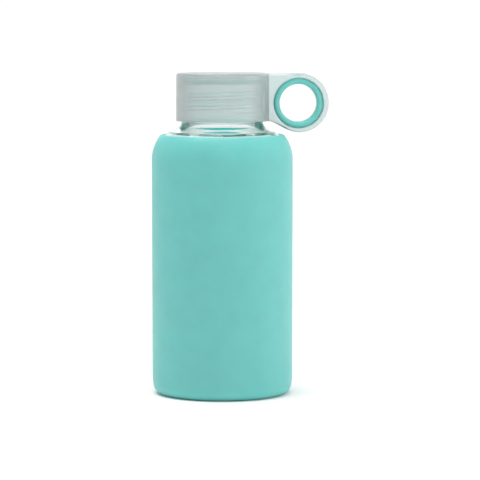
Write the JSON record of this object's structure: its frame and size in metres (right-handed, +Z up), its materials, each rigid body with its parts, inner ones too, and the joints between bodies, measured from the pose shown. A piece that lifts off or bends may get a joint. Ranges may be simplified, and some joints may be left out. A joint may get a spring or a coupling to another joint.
{
  "type": "water bottle",
  "caption": "Squat glass water bottle in a turquoise silicone sleeve, with a frosted screw cap that carries a side finger loop lined with a silicone ring.",
  "frame": {"origin": "on the bottle's axis, in the plane that the sleeve's flat bottom rests on", "axes": "+Z up along the bottle's axis through the mouth, +X towards the finger loop"},
  "size_m": [0.0978, 0.078, 0.178],
  "materials": {
    "clear_glass": "clear soda-lime glass with a faint green tint",
    "sleeve_silicone": "soft-touch matt turquoise silicone",
    "frosted_plastic": "frosted translucent polypropylene",
    "liner_plastic": "natural translucent polypropylene",
    "seal_silicone": "satin turquoise silicone",
    "grommet_silicone": "satin turquoise silicone"
  },
  "bodies": {
    "bottle": {"glass_bottle": "clear_glass", "silicone_sleeve": "sleeve_silicone"},
    "seal": {"seal_gasket": "seal_silicone"},
    "cap": {"cap_shell": "frosted_plastic", "cap_liner": "liner_plastic", "loop_grommet": "grommet_silicone"}
  },
  "joints": [
    {"name": "cap_rise", "type": "slide", "parent": "bottle", "child": "seal", "axis": [0, 0, 1], "range_m": [0, 0.0508]},
    {"name": "cap_turn", "type": "hinge", "parent": "seal", "child": "cap", "pos_m": [0, 0, 0.1613], "axis": [0, 0, 1], "range_deg": [0, 3600]}
  ],
  "couplings": [
    {"joint": "cap_rise", "follows": "cap_turn", "m_per_rad": 0.0008085}
  ]
}
